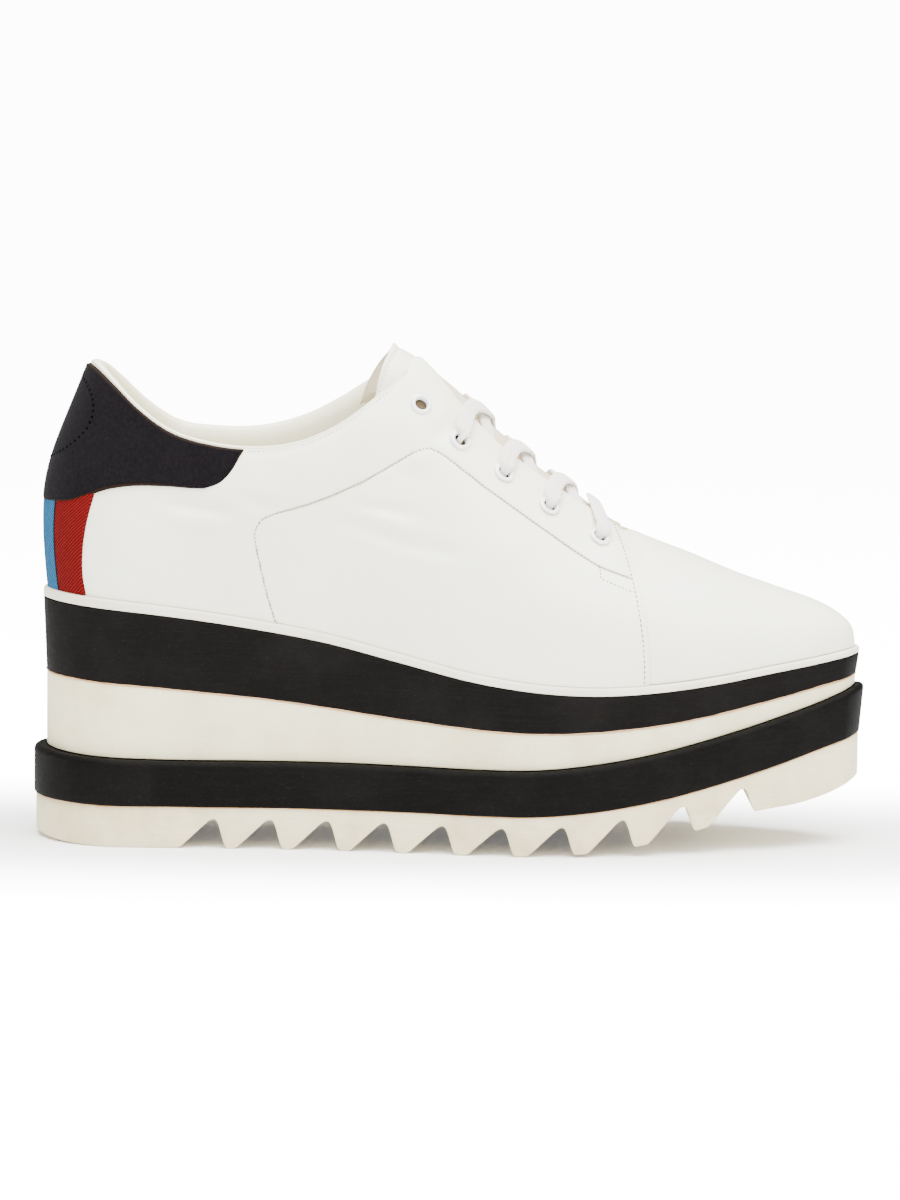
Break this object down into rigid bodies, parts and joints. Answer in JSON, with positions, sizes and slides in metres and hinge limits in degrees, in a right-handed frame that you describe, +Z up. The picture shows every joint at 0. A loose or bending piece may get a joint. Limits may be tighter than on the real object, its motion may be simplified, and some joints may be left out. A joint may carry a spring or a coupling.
{
  "type": "wedge sneaker",
  "caption": "Right platform wedge sneaker with pointed toe, layered wedge sole, saw-tooth tread, hollow leather upper, heel counter, ribbon back tab and laced throat.",
  "frame": {"origin": "on the floor under the middle of the sole's box", "axes": "+X from heel to toe, +Y towards the inner (medial) side, +Z up"},
  "size_m": [0.283, 0.095, 0.1688],
  "materials": {
    "tread_rubber": "matt, moulded",
    "band_rubber": "matt, fine grain",
    "light_foam": "matt foam, fine grain",
    "dark_foam": "matt foam, fine grain",
    "welt_edge": "matt, smooth",
    "upper_leather": "smooth, semi-matt",
    "counter_suede": "suede nap",
    "ribbon_twill": "woven twill",
    "tongue_leather": "smooth, semi-matt",
    "lining_leather": "soft, matt",
    "eyelet_enamel": "gloss enamel",
    "lace_cotton": "flat woven cotton"
  },
  "bodies": {
    "root": {"outsole_tread": "tread_rubber", "outsole_band": "band_rubber", "midsole_white": "light_foam", "midsole_black": "dark_foam", "welt": "welt_edge", "upper": "upper_leather", "heel_counter": "counter_suede", "heel_ribbon": "ribbon_twill", "tongue": "tongue_leather", "insole": "lining_leather", "eyelet_lateral_1": "eyelet_enamel", "eyelet_lateral_2": "eyelet_enamel", "eyelet_lateral_3": "eyelet_enamel", "eyelet_lateral_4": "eyelet_enamel", "eyelet_lateral_5": "eyelet_enamel", "eyelet_medial_1": "eyelet_enamel", "eyelet_medial_2": "eyelet_enamel", "eyelet_medial_3": "eyelet_enamel", "eyelet_medial_4": "eyelet_enamel", "eyelet_medial_5": "eyelet_enamel", "lace_crossing_1": "lace_cotton", "lace_crossing_2": "lace_cotton", "lace_crossing_3": "lace_cotton", "lace_crossing_4": "lace_cotton"}
  },
  "joints": []
}
